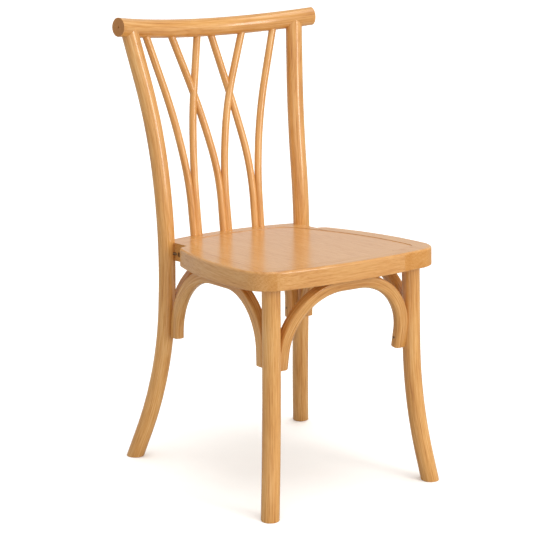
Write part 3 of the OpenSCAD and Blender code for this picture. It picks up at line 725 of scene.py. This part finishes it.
@dataclass
class CrestRail:
    """Bowed, tilted round rail over the back, sawn off at both ends."""

    diameter: float = 37.6
    middle_y: float = 531.3
    height: float = 872.0
    bow: float = 570.0  # radius
    tilt: float = 17.5
    half: float = 234.5  # from the middle to an end
    shift: float = 2.5  # of both ends to the right
    end_turn: float = 8.0
    rim: float = 1.8
    centre_mark: float = 2.3
    heart: Triple = (2.0, 3.0, 120.0)

    def at(self, x: float) -> Vector:
        """A point of the rail's axis at a distance from the middle."""
        sag = self.bow - math.sqrt(self.bow ** 2 - x ** 2)
        return self.tilted(x, -sag) + Vector((0, self.middle_y, self.height))

    def tilted(self, x: float, back: float) -> Vector:
        """A direction in the rail's tilted plane, seen in the joiner's frame."""
        t = math.radians(self.tilt)
        return Vector((x, back * math.cos(t), -back * math.sin(t)))

    def axis(self) -> list[Vector]:
        """The bowed axis, run on past both sawn ends."""
        turn = math.asin((self.half + self.shift + self.diameter / 2) / self.bow)
        steps = math.ceil(turn / math.acos(1 - SAGITTA / self.bow))
        places = [self.bow * math.sin(turn * k / steps) for k in range(-steps, steps + 1)]
        return [self.at(x) for x in places]

    def build(self) -> None:
        """Sweeps, saws and dresses the rail."""
        piece = swept("crest_rail", self.axis(), Slot.FRAME, self.heart,
                      Diameter=self.diameter / MM, Sides=64)
        a = math.radians(self.end_turn)
        for side in Side:
            end = metres(self.at(side.value * self.half + self.shift))
            outward = self.tilted(side.value * math.cos(a), -math.sin(a))
            trimmed(piece, end, outward, self.rim, self.centre_mark)
        settled(piece, Slot.FRAME, "crest_rail")


@dataclass
class BackPosts:
    """The two bent posts, each from a rear foot through the seat's notch to the rail."""

    rail: CrestRail
    diameter: float = 34.4
    corners: tuple[Triple, ...] = (
        (212.8, 479.8, 0.0), (170.4, 425.3, 186.0), (166.8, 413.3, 461.5), (171.6, 447.6, 684.5),
    )
    top_x: float = 201.6
    radii: Triple = (880.0, 1160.0, 1335.0)
    foot_round: float = 1.6
    hearts: tuple[Triple, Triple] = ((26.0, 31.0, 900.0), (-30.0, 24.0, 2400.0))

    def path(self, side: Side) -> BentPath:
        """The post's axis, run on below the floor so that the foot can be sawn level."""
        pts = [mirrored(c, side) for c in (*self.corners, self.rail.at(self.top_x))]
        pts[0] = run_on(pts[0], pts[1], self.diameter)
        return BentPath(tuple(pts), self.radii)

    def build(self) -> None:
        """Sweeps, saws and dresses both posts."""
        for side, heart in zip(Side, self.hearts):
            name = f"{side.word}_post"
            piece = upright(name, self.path(side), self.diameter, heart, self.foot_round)
            settled(piece, Slot.FRAME, name)


@dataclass(frozen=True)
class SpindleShape:
    """One kind of spindle: where it stands and how it bends, as shares of its way up."""

    word: str
    foot_x: float
    top_x: float
    low: Triple
    high: Triple
    bends: Pair  # of each bend, against the longest that fits
    top_back: float = 0.0


@dataclass
class Spindles:
    """Six thin rods in three pairs that part, cross and meet under the rail."""

    rail: CrestRail
    diameter: float = 15.4
    seat_h: float = 475.4
    seat_tilt: float = 2.3
    seat_d: float = 463.0
    rear_r: float = 513.0
    inset: float = 8.8  # of the feet from the seat's rear edge
    sunk: float = 10.0  # into the seat
    lap_step: float = 2.0  # each way, where two spindles cross
    glue: float = 0.1
    shapes: tuple[SpindleShape, ...] = (
        SpindleShape("outer", 83.3, 159.6, (0.017, 0.219, 0.248), (0.262, 0.567, 0.556),
                     (0.47, 0.585)),
        SpindleShape("crossing", 70.7, 13.4, (-0.010, 0.188, 0.304), (0.311, 0.562, 0.596),
                     (0.535, 0.355), 6.0),
        SpindleShape("middle", 6.5, 91.5, (-0.012, 0.231, 0.282), (0.305, 0.686, 0.614),
                     (0.535, 0.48)),
    )
    heart: Triple = (11.0, 9.0, 300.0)  # of an outer spindle
    heart_step: Triple = (-5.0, 4.0, 300.0)  # from one kind to the next
    heart_side: float = 1000.0  # along the grain, up or down by the side

    def foot(self, x: float) -> Vector:
        """Where a spindle's axis meets the seat's top."""
        y = self.seat_d - self.rear_r + math.sqrt(self.rear_r ** 2 - x ** 2) - self.inset
        return Vector((x, y, self.seat_h - y * math.tan(math.radians(self.seat_tilt))))

    def path(self, shape: SpindleShape, side: Side) -> BentPath:
        """Lays out a spindle's axis.

        Args:
            shape: the kind of spindle.
            side: its side.

        Returns:
            The path, run on into the seat.
        """
        foot = self.foot(shape.foot_x)
        top = self.rail.at(shape.top_x) + Vector((0, shape.top_back, 0))
        low, high = (
            foot + Vector([w * s for w, s in zip(top - foot, shares)])
            for shares in (shape.low, shape.high)
        )
        if shape.word != "outer":
            in_front = (shape.word == "crossing") == (side is Side.LEFT)
            high.y += -self.lap_step if in_front else self.lap_step
        pts = [foot, low, high, top]
        radii = []
        for i, share in zip((1, 2), shape.bends):
            a, b = pts[i] - pts[i - 1], pts[i + 1] - pts[i]
            radii.append(share * min(a.length, b.length) / math.tan(a.angle(b) / 2))
        pts[0] = run_on(foot, low, self.sunk)
        return BentPath(tuple(mirrored(p, side) for p in pts), tuple(radii))

    def build(self) -> None:
        """Sweeps and dresses the six spindles, each with a heart of its own."""
        for side in Side:
            for n, shape in enumerate(self.shapes):
                name = f"{side.word}_{shape.word}_spindle"
                x, y, z = (h + n * step for h, step in zip(self.heart, self.heart_step))
                heart = (x, side.value * y, z + side.value * self.heart_side)
                points = self.path(shape, side).points()
                piece = swept(name, points, Slot.SPINDLE, heart,
                              Diameter=self.diameter / MM, Sides=40)
                self.flatten(piece, shape, side)
                settled(piece, Slot.SPINDLE, name)

    def flatten(self, piece: Object, shape: SpindleShape, side: Side) -> None:
        """Planes the flat on which a spindle meets its neighbour at the seat.

        Args:
            piece: the spindle.
            shape: its kind.
            side: its side.
        """
        between = (self.shapes[0].foot_x + self.shapes[1].foot_x) / 2
        x = 0.0 if shape.word == "middle" else between
        way = 1.0 if shape.word == "crossing" else -1.0
        at = Vector((side.value * (x - way * self.glue / 2), 0, 0)) / MM
        trimmed(piece, at, Vector((side.value * way, 0, 0)), 0.0)


# Legs and arches


@dataclass
class SeatPlane:
    """The seat frame's tilted top and underside."""

    height: float = 475.4
    tilt: float = 2.3
    thick: float = 36.5

    @property
    def lower(self) -> float:
        """Height of the underside at the front edge."""
        return self.height - self.thick / math.cos(math.radians(self.tilt))

    def under(self, y: float) -> float:
        """Height of the underside at a depth."""
        return self.lower - y * math.tan(math.radians(self.tilt))

    def trim(self, piece: Object) -> None:
        """Saws a piece off along the underside."""
        t = math.radians(self.tilt)
        trimmed(piece, metres((0, 0, self.lower)), Vector((0, math.sin(t), math.cos(t))), 0.0)


@dataclass
class FrontLegs:
    """Two round front legs, bent outward and forward towards the feet."""

    plane: SeatPlane
    diameter: float = 35.4
    foot: Triple = (195.2, 15.4, 0.0)
    bend: Triple = (169.9, 46.4, 166.0)
    top: Pair = (166.4, 54.0)
    radius: float = 1160.0
    foot_round: float = 1.6
    over: float = 8.0  # run on past the underside before it is sawn there
    hearts: tuple[Triple, Triple] = ((-24.0, 34.0, 3300.0), (33.0, -22.0, 4700.0))

    def build(self) -> None:
        """Sweeps, saws and dresses both legs."""
        top = (*self.top, self.plane.under(self.top[1]))
        for side, heart in zip(Side, self.hearts):
            pts = [mirrored(p, side) for p in (self.foot, self.bend, top)]
            pts[0] = run_on(pts[0], pts[1], self.diameter)
            pts[2] = run_on(pts[2], pts[1], self.over)
            path = BentPath(tuple(pts), (self.radius,))
            name = f"{side.word}_front_leg"
            piece = upright(name, path, self.diameter, heart, self.foot_round)
            self.plane.trim(piece)
            settled(piece, Slot.FRAME, name)


@dataclass(frozen=True)
class ArchSection:
    """Section of an arch: flat on the leg's side, full and round on the inner side."""

    deep: float = 25.0
    wide: float = 21.0
    inner: float = 8.5
    outer: float = 3.0
    steps: int = 7

    def outline(self) -> list[Vector]:
        """The closed outline in metres; X runs inward from the outer face."""
        h = self.wide / 2
        flat, full = (self.outer, self.outer), (self.deep - self.inner, self.inner)
        out = []
        for (x, r), s, start in ((flat, -1, 180), (full, -1, 270), (full, 1, 0), (flat, 1, 90)):
            for k in range(self.steps + 1):
                a = math.radians(start + 90 * k / self.steps)
                at = (x + r * math.cos(a), s * (h - r) + r * math.sin(a), 0.0)
                out.append(Vector(at) / MM)
        return out


MEETING = 0.01  # two bends that come this near meet in one point


@dataclass(frozen=True)
class ArchRun:
    """An arch in its own plane: first limb, first bend, top, second bend, second limb."""

    reach: Pair  # outer distance of each limb from the arch's middle
    radius: Pair
    low: Pair  # depth of each end below the top

    def laid(self) -> list[tuple[Pair, Pair]]:
        """Lays out the outer face.

        Returns:
            Points (along, up) from the arch's middle top, each with the inward direction.
        """
        out: list[tuple[Pair, Pair]] = []
        for s, w, r, low in zip((-1, 1), self.reach, self.radius, self.low):
            half = [((s * w, -low), (-s * 1.0, 0.0))]
            steps = math.ceil(math.pi / 2 / (2 * math.acos(1 - SAGITTA / r)))
            for k in range(steps + 1):
                a = math.pi / 2 * k / steps
                at = (s * (w - r + r * math.cos(a)), -r + r * math.sin(a))
                half.append((at, (-s * math.cos(a), -math.sin(a))))
            if out and math.dist(half[-1][0], out[-1][0]) < MEETING:
                half.pop()
            out += half[::-s]
        return out


@dataclass
class Arches:
    """Four bent arches that brace the legs under the seat."""

    plane: SeatPlane
    section: ArchSection = ArchSection()
    let_in: float = 3.5  # of an arch's outer face into a leg or post
    over: float = 1.5  # run on past the underside before the top is sawn there
    end_round: float = 2.2
    leg: Triple = (166.4, 54.0, 35.4)  # a front leg at the seat: across, back, diameter
    post: Triple = (166.8, 413.3, 34.4)
    screw_up: float = 21.0  # above an arch's lower end
    front_out: float = 0.8  # how far the legs have spread at the front arch's limbs
    front_end: float = 275.0  # height of its ends
    front_hold: float = 24.0  # above its ends, where it meets the legs' middle
    front_lean: float = 9.4
    front_r: float = 134.0
    rear_out: float = 2.6
    rear_back: float = 8.0
    rear_end: float = 258.0
    rear_r: float = 128.0
    side_ends: Pair = (276.0, 271.0)
    side_r: Pair = (126.0, 158.0)
    side_shift: Pair = (1.5, 9.0)  # forward at the leg, back at the post
    side_in: float = 0.5
    side_turn: float = 1.9  # seen from above
    side_lean: float = 2.3
    front_heart: Triple = (30.0, 14.0, 300.0)
    rear_heart: Triple = (-26.0, 18.0, 1500.0)
    side_hearts: tuple[Triple, Triple] = ((28.0, -16.0, 2700.0), (-24.0, 20.0, 3900.0))
    screws: list[tuple[Vector, Vector]] = field(default_factory=list)

    def sweep(self, name: str, run: ArchRun, place: Matrix, heart: Triple) -> None:
        """Sweeps one arch, saws it flush under the seat and dresses it.

        Args:
            name: the CAD node it stands for.
            run: the arch in its own plane.
            place: where that plane stands, in millimetres; its X runs along and its Z up.
            heart: where the trunk's heart lies from the section.
        """
        turned = place.to_3x3()
        points = [place @ Vector((a, 0, u)) for (a, u), _ in run.laid()]
        aims = [turned @ Vector((a, 0, u)) for _, (a, u) in run.laid()]
        piece = swept(name, points, Slot.ARCH, heart, aims, self.section.outline())
        for s, reach, low in zip((-1, 1), run.reach, run.low):
            spot = place @ Vector((s * (reach - self.section.deep), 0, self.screw_up - low))
            self.screws.append((spot, (turned @ Vector((-s, 0, 0))).normalized()))
        bm = opened(piece.data)
        ends = {e for f in bm.faces if len(f.verts) > 4 for e in f.edges}
        rounded(bm, ends, self.end_round / MM)
        closed(bm, piece.data)
        self.plane.trim(piece)
        settled(piece, Slot.ARCH, name)

    def build(self) -> None:
        """Sweeps the front, rear and side arches."""
        leg_x, leg_y, leg_d = self.leg
        post_x, post_y, post_d = self.post

        half = leg_x + self.front_out - leg_d / 2 + self.let_in
        lean = math.radians(self.front_lean)
        rise = self.plane.under(leg_y) - self.front_end - self.front_hold
        y = leg_y - rise * math.sin(lean)
        top = self.plane.under(y) + self.over
        low = (top - self.front_end) / math.cos(lean)
        run = ArchRun((half, half), (self.front_r, self.front_r), (low, low))
        place = Matrix.Translation((0, y, top)) @ Matrix.Rotation(lean, 4, "X")
        self.sweep("front_arch", run, place, self.front_heart)

        half = post_x + self.rear_out - post_d / 2 + self.let_in
        y = post_y + self.rear_back
        top = self.plane.under(y) + self.over
        low = top - self.rear_end
        run = ArchRun((half, half), (self.rear_r, self.rear_r), (low, low))
        self.sweep("rear_arch", run, Matrix.Translation((0, y, top)), self.rear_heart)

        front_y = leg_y - self.side_shift[0] + leg_d / 2 - self.let_in
        rear_y = post_y + self.side_shift[1] - post_d / 2 + self.let_in
        rear_reach = self.side_r[1]
        mid = rear_y - rear_reach
        top = self.plane.under(mid) + self.over
        lows = (top - self.side_ends[0], top - self.side_ends[1])
        run = ArchRun((mid - front_y, rear_reach), self.side_r, lows)
        for side, heart in zip(Side, self.side_hearts):
            turn = math.radians(90 + self.side_turn * side.value)
            place = (
                Matrix.Translation((side.value * (leg_x - self.side_in), mid, top))
                @ Matrix.Rotation(turn, 4, "Z")
                @ Matrix.Rotation(math.radians(self.side_lean), 4, "Y")
            )
            self.sweep(f"{side.word}_arch", run, place, heart)


# Seat


class Board(Enum):
    """How a seat board is cut: which way its fibre runs."""

    ACROSS = (1.0, 0.0, 0.0)
    DEEP = (0.0, 1.0, 0.0)


SAME_PLACE = 1e-6  # metres; corners closer than this are one
SAME_FACE = 0.3  # degrees; facets that turn less than this are one
HEART_Z = 0.45  # metres; height that the boards' hearts are given from


@dataclass(frozen=True)
class SeatBoard:
    """One board of the seat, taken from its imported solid, which is rounded already."""

    node: str
    cut: Board
    slot: Slot
    heart: Triple
    turn: float = 0.0

    def build(self) -> None:
        """Copies, merges, smooths and dresses the board."""
        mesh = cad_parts[self.node].data.copy()
        mesh.name = self.node + "_board"
        mesh.materials.clear()
        mesh.materials.append(finish_of(self.slot))
        for layer in list(mesh.uv_layers):
            mesh.uv_layers.remove(layer)
        bm = opened(mesh)
        bmesh.ops.remove_doubles(bm, verts=bm.verts, dist=SAME_PLACE)
        bmesh.ops.dissolve_limit(bm, angle_limit=math.radians(SAME_FACE), verts=bm.verts[:],
                                 edges=bm.edges[:])
        for face in bm.faces:
            face.smooth = True
        for edge in bm.edges:
            edge.smooth = edge.calc_face_angle(0.0) < math.radians(FLAT_TURN)
        closed(bm, mesh)
        piece = put(mesh.name, mesh)
        weigh = piece.modifiers.new("weigh", "WEIGHTED_NORMAL")
        weigh.mode, weigh.weight, weigh.keep_sharp = "FACE_AREA", 50, True
        eased = evaluated(piece, mesh.name)
        piece.modifiers.clear()
        piece.data = eased
        self.lay_grain(eased)
        settled(piece, self.slot, self.node, crease=False)

    def lay_grain(self, mesh: Mesh) -> None:
        """Writes the board's grain and fibre directions.

        Args:
            mesh: the board's mesh.
        """
        along = Matrix.Rotation(math.radians(self.turn), 3, "Z") @ Vector(self.cut.value)
        aside = Vector((0, 0, 1)).cross(along)
        heart = Vector(self.heart) / MM
        grain: list[float] = []
        for v in mesh.vertices:
            grain += [v.co.dot(aside) + heart.x, v.co.z - HEART_Z + heart.y,
                      v.co.dot(along) + heart.z]
        write(mesh, "grain", grain)
        write(mesh, "fibre", list(along) * len(mesh.vertices))


@dataclass
class Seat:
    """Framed seat: four solid rails round a veneered panel."""

    boards: tuple[SeatBoard, ...] = (
        SeatBoard("seat_front_rail", Board.ACROSS, Slot.SEAT, (260.0, -38.0, 0.0)),
        SeatBoard("seat_left_rail", Board.DEEP, Slot.SEAT, (-240.0, -60.0, 2000.0), turn=-3.0),
        SeatBoard("seat_right_rail", Board.DEEP, Slot.SEAT, (120.0, -70.0, 3000.0), turn=4.0),
        SeatBoard("seat_rear_rail", Board.ACROSS, Slot.SEAT, (-150.0, -55.0, 4000.0)),
        SeatBoard("seat_panel", Board.DEEP, Slot.VENEER, (30.0, -90.0, 5000.0)),
    )

    def build(self) -> None:
        """Builds every board."""
        for board in self.boards:
            board.build()


# Fittings


@dataclass
class ArchScrews:
    """Small domed screws through the ends of the arches into the legs."""

    spots: list[tuple[Vector, Vector]]
    head: float = 5.2
    dome: float = 0.7
    recess: float = 1.4  # depth of the cross
    arm: float = 0.8  # half the width of its arms
    tip: float = 0.62  # end of an arm, against the head's radius
    notch: float = 0.75  # corner between two arms, against their half width
    floor: float = 0.6  # of the cross, against its mouth
    proud: float = 0.1
    ring: int = 24

    def head_mesh(self) -> Mesh:
        """Turns one screw head with its cross recess; it looks along +Z.

        Returns:
            The head's mesh in metres, closed.
        """
        mesh = bpy.data.meshes.new("screw_head")
        bm = opened(mesh)
        r, dome = self.head / 2, self.dome
        cross = [{0: r * self.tip, 3: self.arm * self.notch}.get(k % 6, self.arm)
                 for k in range(self.ring)]
        profile = ((0.2, -2.6), (0.96, -0.15), (1.0, 0.0), (0.97, dome * 0.25), (0.82, dome * 0.8))
        levels = [([r * share] * self.ring, z) for share, z in profile]
        levels += [(cross, dome), ([self.floor * c for c in cross], dome - self.recess)]
        angles = [2 * math.pi * k / self.ring for k in range(self.ring)]
        loops = [
            [bm.verts.new((radius * math.cos(a) / MM, radius * math.sin(a) / MM, z / MM))
             for radius, a in zip(radii, angles)]
            for radii, z in levels
        ]
        for low, high in zip(loops, loops[1:]):
            for k in range(self.ring):
                after = (k + 1) % self.ring
                bm.faces.new((low[k], low[after], high[after], high[k]))
        bm.faces.new(list(reversed(loops[0])))
        bm.faces.new(loops[-1])
        bmesh.ops.recalc_face_normals(bm, faces=bm.faces[:])
        closed(bm, mesh)
        return mesh

    def tree(self) -> Tree:
        """Builds the tree that sets a head on each point, turned to the point's aim.

        Returns:
            The tree.
        """
        tree = new_tree("screws_on_points", {
            "Head": ("NodeSocketObject", None),
            "Steel": ("NodeSocketMaterial", None),
        })
        given = add(tree, "NodeGroupInput").outputs
        aim = {"Vector": read(tree, "aim")}
        head = add(tree, "GeometryNodeObjectInfo", {"Object": given["Head"], "As Instance": True})
        mesh = first(tree, "GeometryNodeInstanceOnPoints", {
            "Points": given["Geometry"],
            "Instance": head.outputs["Geometry"],
            "Rotation": first(tree, "FunctionNodeAlignRotationToVector", aim, axis="Z"),
        })
        mesh = first(tree, "GeometryNodeRealizeInstances", {"Geometry": mesh})
        feeds = {"Geometry": mesh, "Material": given["Steel"]}
        add(tree, "NodeGroupOutput", {"Geometry": first(tree, "GeometryNodeSetMaterial", feeds)})
        return tree

    def build(self) -> None:
        """Sets and dresses the screws."""
        head = put("screw_head_source", self.head_mesh())
        mesh = bpy.data.meshes.new("screw_points")
        mesh.from_pydata([tuple(metres(p + d * self.proud)) for p, d in self.spots], [], [])
        write(mesh, "aim", [c for _, d in self.spots for c in d])
        sizes = {"Head": head, "Steel": finish_of(Slot.STEEL)}
        piece = grown("arch_screws", mesh, self.tree(), sizes)
        bpy.data.objects.remove(head)
        settled(piece, Slot.STEEL)


def dress_fittings() -> None:
    """Gives the bolts and cross dowels that stay as packed their steel."""
    for name in ("post_bolts", "cross_dowels"):
        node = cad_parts[name]
        if node.material_slots:
            for place in node.material_slots:
                place.material = finish_of(Slot.STEEL)
        else:
            node.data.materials.append(finish_of(Slot.STEEL))
        LOG.info("%s: steel", name)


# Studio


@dataclass(frozen=True)
class Lamp:
    """A far, wide silk, or a soft box where it has a size in metres."""

    name: str
    power: float
    colour: str
    aim: Triple  # a silk's way, or the point that a box looks at
    spread: float = 0.0  # a silk's width in degrees, which softens the shadows
    size: Optional[Pair] = None
    place: Triple = (0.0, 0.0, 0.0)

    def hang(self) -> Object:
        """Hangs the lamp.

        Returns:
            The lamp.
        """
        data = bpy.data.lights.new(self.name, "AREA" if self.size else "SUN")
        data.energy, data.color = self.power, linear(self.colour)[:3]
        if self.size:
            data.shape = "RECTANGLE"
            data.size, data.size_y = self.size
        else:
            data.angle = math.radians(self.spread)
        return aimed(put(self.name, data), self.place, Vector(self.aim) - Vector(self.place))


@dataclass
class Studio:
    """Paper floor, lamps and the camera of the photograph."""

    eye: Triple = (-1.9370, -2.7430, 1.1804)
    look: Triple = slant(12.86, 34.9)
    lens: float = 116.13
    sensor: float = 36.0
    clip: Pair = (0.05, 300.0)
    floor_r: float = 60.0
    lamps: tuple[Lamp, ...] = (
        Lamp("high_silk", 1.0, "fffdfa", slant(80.0, -20.0), spread=42.0),
        Lamp("front_box", 33.0, "fffaf3", (0.0, 0.0, 0.7), 0.0, (0.95, 1.4), (0.92, -2.95, 1.5)),
        Lamp("side_box", 5.0, "fffaf3", (0.0, 0.0, 0.7), 0.0, (1.5, 2.0), (2.3, -1.93, 1.2)),
    )
    wash: Lamp = Lamp("paper_wash", 1.5, "fffdfa", DOWN, spread=90.0)  # on the paper alone
    back: Triple = (0.56, 0.80, 0.0)  # the wall behind the chair
    back_span: Pair = (0.0, 0.9)
    back_level: Pair = (0.53, 0.72)
    front: Triple = (-0.30, -0.95, 0.10)  # the open side before it
    front_span: Pair = (0.25, 1.0)
    front_level: Pair = (0.0, 0.52)
    room: tuple[float, float, float, float] = (1.0, 0.985, 0.965, 1.0)

    def camera(self) -> None:
        """Sets the camera at the photograph's place."""
        data = bpy.data.cameras.new("camera")
        data.lens, data.sensor_width, data.sensor_fit = self.lens, self.sensor, "HORIZONTAL"
        data.clip_start, data.clip_end = self.clip
        bpy.context.scene.camera = aimed(put("camera", data), self.eye, self.look)

    def floor(self) -> Object:
        """Lays the paper floor as a wide round sheet."""
        mesh = bpy.data.meshes.new("paper_floor")
        bm = opened(mesh)
        bmesh.ops.create_circle(bm, cap_ends=True, cap_tris=False, segments=96,
                                radius=self.floor_r)
        closed(bm, mesh)
        mesh.materials.append(StudioPaper().make())
        paper = put("paper_floor", mesh)
        return paper

    def light(self, paper: Object) -> None:
        """Hangs the silk, the soft boxes and the lamp that whitens the paper alone."""
        for lamp in self.lamps:
            lamp.hang()
        wash = self.wash.hang()
        wash.data.use_shadow = False
        alone = bpy.data.collections.new("paper")
        alone.objects.link(paper)
        wash.light_linking.receiver_collection = alone
        bpy.context.scene.view_settings.view_transform = "Standard"
        bpy.context.scene.view_settings.look = "None"

    def surroundings(self) -> None:
        """Makes a white room that lights the chair from behind and from the open front."""
        world = bpy.data.worlds.new("studio")
        tree = fresh(world)
        way = add(tree, "ShaderNodeTexCoord").outputs["Generated"]
        back, front = (
            remap(tree, vector(tree, "DOT_PRODUCT", way, aim), span, level)
            for aim, span, level in (
                (self.back, self.back_span, self.back_level),
                (self.front, self.front_span, self.front_level),
            )
        )
        seen = add(tree, "ShaderNodeLightPath").outputs["Is Camera Ray"]
        feeds = {0: seen, 2: number(tree, "ADD", back, front), 3: 1.0}
        level = first(tree, "ShaderNodeMix", feeds, data_type="FLOAT")
        light = first(tree, "ShaderNodeBackground", {"Color": self.room, "Strength": level})
        add(tree, "ShaderNodeOutputWorld", {"Surface": light})
        bpy.context.scene.world = world

    def build(self) -> None:
        """Sets up the whole studio."""
        self.camera()
        self.light(self.floor())
        self.surroundings()


def main() -> None:
    """Builds every sub-assembly in order."""
    logging.basicConfig(level=logging.INFO, format="%(name)s: %(message)s")
    Studio().build()
    rail = CrestRail()
    plane = SeatPlane()
    rail.build()
    BackPosts(rail).build()
    Spindles(rail).build()
    FrontLegs(plane).build()
    arches = Arches(plane)
    arches.build()
    Seat().build()
    ArchScrews(arches.screws).build()
    dress_fittings()


if __name__ == "__main__":
    main()
